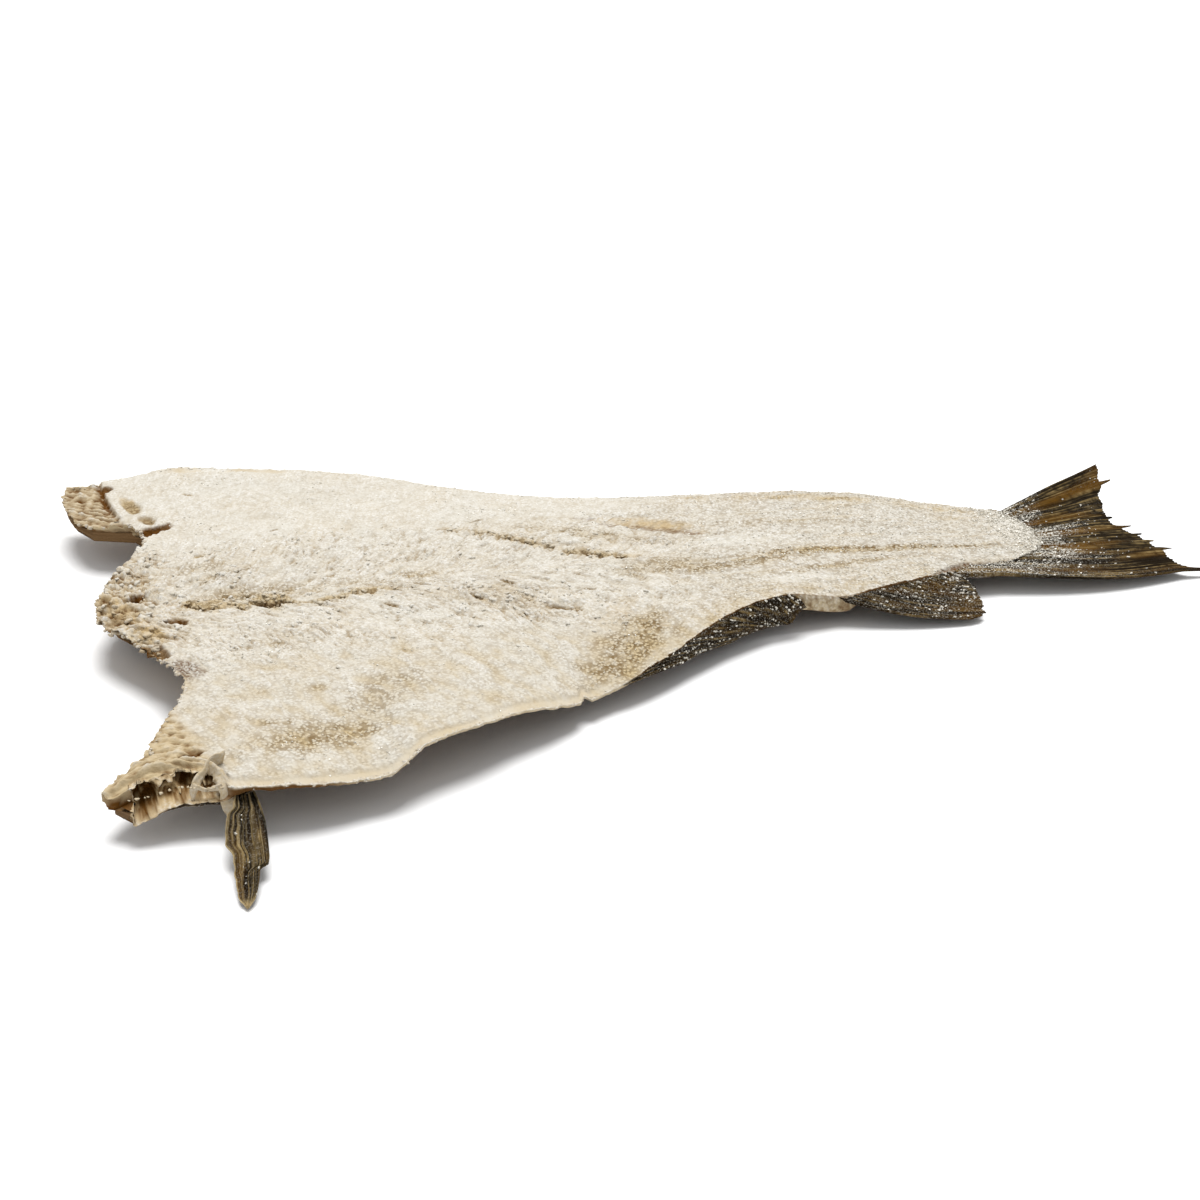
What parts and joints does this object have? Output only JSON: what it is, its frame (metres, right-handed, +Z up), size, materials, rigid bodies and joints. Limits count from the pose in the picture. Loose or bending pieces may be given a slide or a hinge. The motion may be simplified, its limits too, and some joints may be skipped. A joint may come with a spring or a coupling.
{
  "type": "salted dried cod",
  "caption": "Whole split salted dried cod lying flesh side up: head off, collars and belly flaps spread flat, tail fin, anal fins and pectoral fin still on.",
  "frame": {"origin": "centre of the whole fish's box, on the table it rests on", "axes": "+X along the fish towards the tail, +Y across it away from the anal fins, +Z up out of the flesh side"},
  "size_m": [0.6416, 0.4554, 0.0363],
  "materials": {
    "dried_flesh": "dried salted fish flesh, dull, granular with fine salt, fibres and cracks, yellower where the flesh is bare",
    "dried_skin": "dried fish skin, grey-brown and leathery, dusted with salt",
    "fin_rays": "dried fin membrane over raised rays, dark olive brown, slightly glossy",
    "salt_crystals": "coarse white curing salt crystals, slightly translucent"
  },
  "bodies": {
    "root": {"split_cod": "dried_flesh"}
  },
  "joints": []
}
